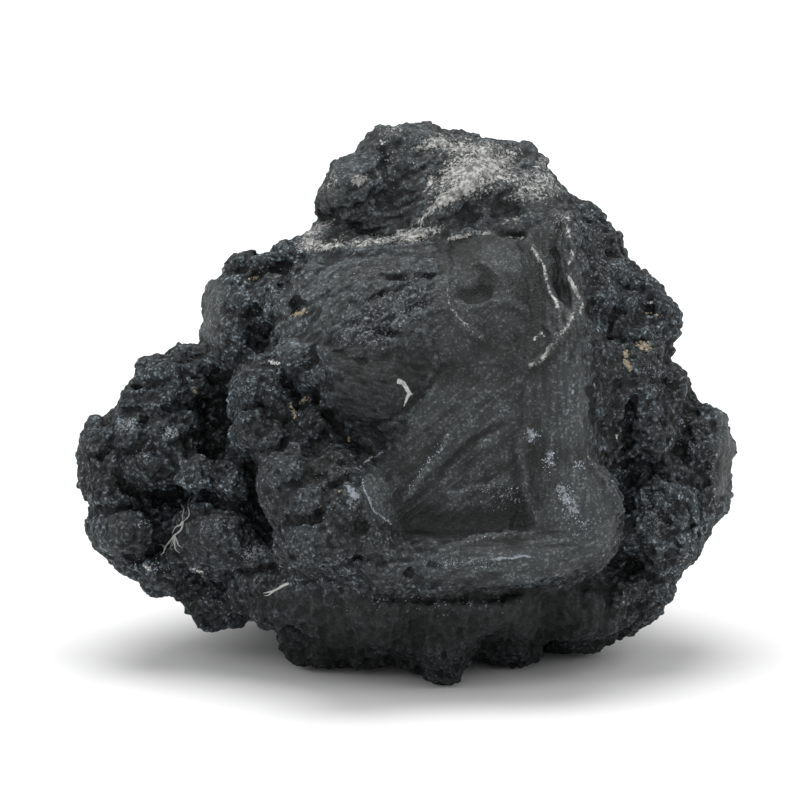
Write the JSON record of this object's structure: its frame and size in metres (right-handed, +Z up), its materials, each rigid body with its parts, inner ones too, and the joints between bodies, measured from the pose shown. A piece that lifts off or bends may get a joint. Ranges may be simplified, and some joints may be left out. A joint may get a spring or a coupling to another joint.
{
  "type": "howlite nodule",
  "caption": "Rough black howlite nodule with a cauliflower skin and a smooth worn face, a mineral specimen that stands on its own knobs.",
  "frame": {"origin": "middle of the bounding box, at the level of the worn knobs that the stone stands on", "axes": "+X to the right of the worn front face, +Y away from the viewer of that face, +Z up"},
  "size_m": [0.1108, 0.082, 0.0884],
  "materials": {
    "black_howlite": "matt charcoal black with a cool tint, dusty grey on worn edges"
  },
  "bodies": {
    "root": {"howlite_nodule": "black_howlite"}
  },
  "joints": []
}
